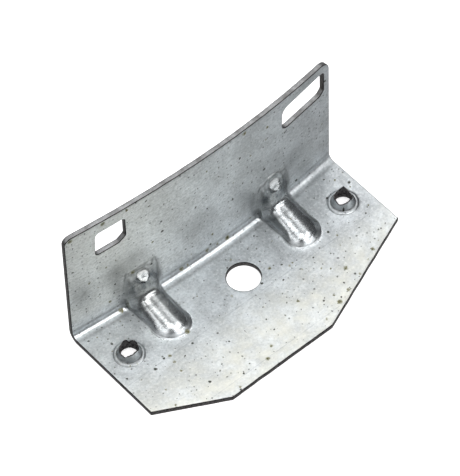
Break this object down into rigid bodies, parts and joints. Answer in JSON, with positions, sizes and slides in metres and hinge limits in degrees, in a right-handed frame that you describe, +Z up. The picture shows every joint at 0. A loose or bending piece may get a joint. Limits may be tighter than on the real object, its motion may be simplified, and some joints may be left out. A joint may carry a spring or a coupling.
{
  "type": "roof bracket",
  "caption": "Pressed sheet-steel angle bracket: flat plate with a round hole and burst collars, bowed upright flange with slots, hollow ribs across the bend.",
  "frame": {"origin": "bottom centre of the bounding box, on the plate's underside", "axes": "+Z up, normal to the plate; the flange stands along the +Y edge; +X along the bend, towards the long slot"},
  "size_m": [0.12, 0.0584, 0.0569],
  "materials": {
    "galvanised_steel": "hot-dip galvanised, dull with bright ribs"
  },
  "bodies": {
    "root": {"bracket_pressing": "galvanised_steel"}
  },
  "joints": []
}
